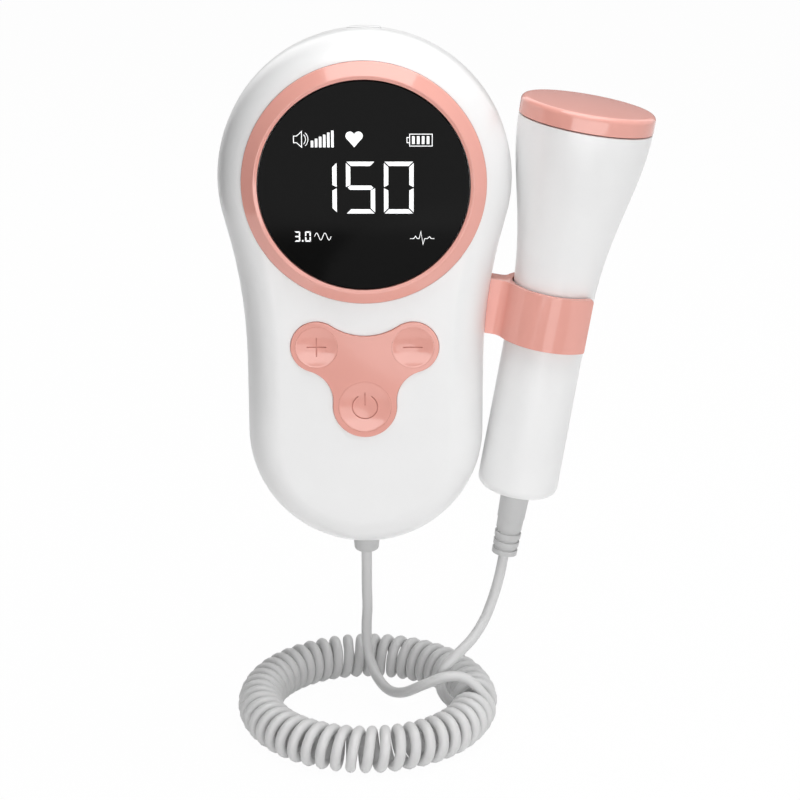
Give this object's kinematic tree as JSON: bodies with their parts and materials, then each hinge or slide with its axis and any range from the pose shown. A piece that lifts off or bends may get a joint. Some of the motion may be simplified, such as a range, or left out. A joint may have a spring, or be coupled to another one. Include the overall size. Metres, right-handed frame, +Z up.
{
  "type": "fetal doppler monitor",
  "caption": "Hand-held fetal heart monitor: pear-shaped case with round display and keys, clip-on probe on a curly cord.",
  "frame": {"origin": "on the case's flat back, at the middle of its width and height", "axes": "+Y out of the flat back, -Y out of the display, +Z up the case towards its head, +X towards the clip and the probe"},
  "size_m": [0.1148, 0.0724, 0.1923],
  "materials": {
    "case_white": "satin",
    "rose_plastic": "satin",
    "black_window": "polished",
    "foam": "matte",
    "display": "satin",
    "board": "satin",
    "switch_black": "matte",
    "battery_wrap": "satin",
    "steel": "brushed",
    "speaker_grey": "satin",
    "ceramic": "matte",
    "resin": "matte",
    "grey_rubber": "satin"
  },
  "bodies": {
    "monitor": {"front_shell": "case_white", "rear_shell": "case_white", "bezel_ring": "rose_plastic", "display_lens": "black_window", "display_gasket": "foam", "display_panel": "display", "button_fascia": "rose_plastic", "main_board": "board", "key_switch_plus": "switch_black", "key_switch_minus": "switch_black", "key_switch_power": "switch_black", "battery_pack": "battery_wrap", "loudspeaker": "speaker_grey", "charging_socket": "steel", "charge_board": "board", "case_screw_1": "steel", "case_screw_2": "steel", "case_screw_3": "steel", "case_screw_4": "steel", "probe_clip": "rose_plastic", "cord_gland": "grey_rubber", "cord_case_lead": "grey_rubber", "cord_curly": "grey_rubber", "cord_probe_lead": "grey_rubber"},
    "plus_key": {"plus_button": "rose_plastic"},
    "minus_key": {"minus_button": "rose_plastic"},
    "power_key": {"power_button": "rose_plastic"},
    "cover": {"port_cover": "case_white"},
    "door": {"battery_door": "case_white"},
    "probe": {"probe_housing": "case_white", "probe_cap": "rose_plastic", "transmit_crystal": "ceramic", "receive_crystal": "ceramic", "crystal_backing": "resin", "probe_board": "board", "probe_strain_relief": "grey_rubber"}
  },
  "joints": [
    {"name": "plus_press", "type": "slide", "parent": "monitor", "child": "plus_key", "axis": [0, 1, 0], "range_m": [0, 0.0008], "stiffness_N_per_m": 1500, "springref_m": -0.0004},
    {"name": "minus_press", "type": "slide", "parent": "monitor", "child": "minus_key", "axis": [0, 1, 0], "range_m": [0, 0.0008], "stiffness_N_per_m": 1500, "springref_m": -0.0004},
    {"name": "power_press", "type": "slide", "parent": "monitor", "child": "power_key", "axis": [0, 1, 0], "range_m": [0, 0.0008], "stiffness_N_per_m": 1500, "springref_m": -0.0004},
    {"name": "cover_hinge", "type": "hinge", "parent": "monitor", "child": "cover", "pos_m": [0, -0.00795, 0.06995], "axis": [-1, 0, 0], "range_deg": [0, 110]},
    {"name": "door_slide", "type": "slide", "parent": "monitor", "child": "door", "axis": [0, 0, -1], "range_m": [0, 0.04]},
    {"name": "probe_slide", "type": "slide", "parent": "monitor", "child": "probe", "axis": [0.1599, 0, 0.9871], "range_m": [0, 0.062]}
  ]
}
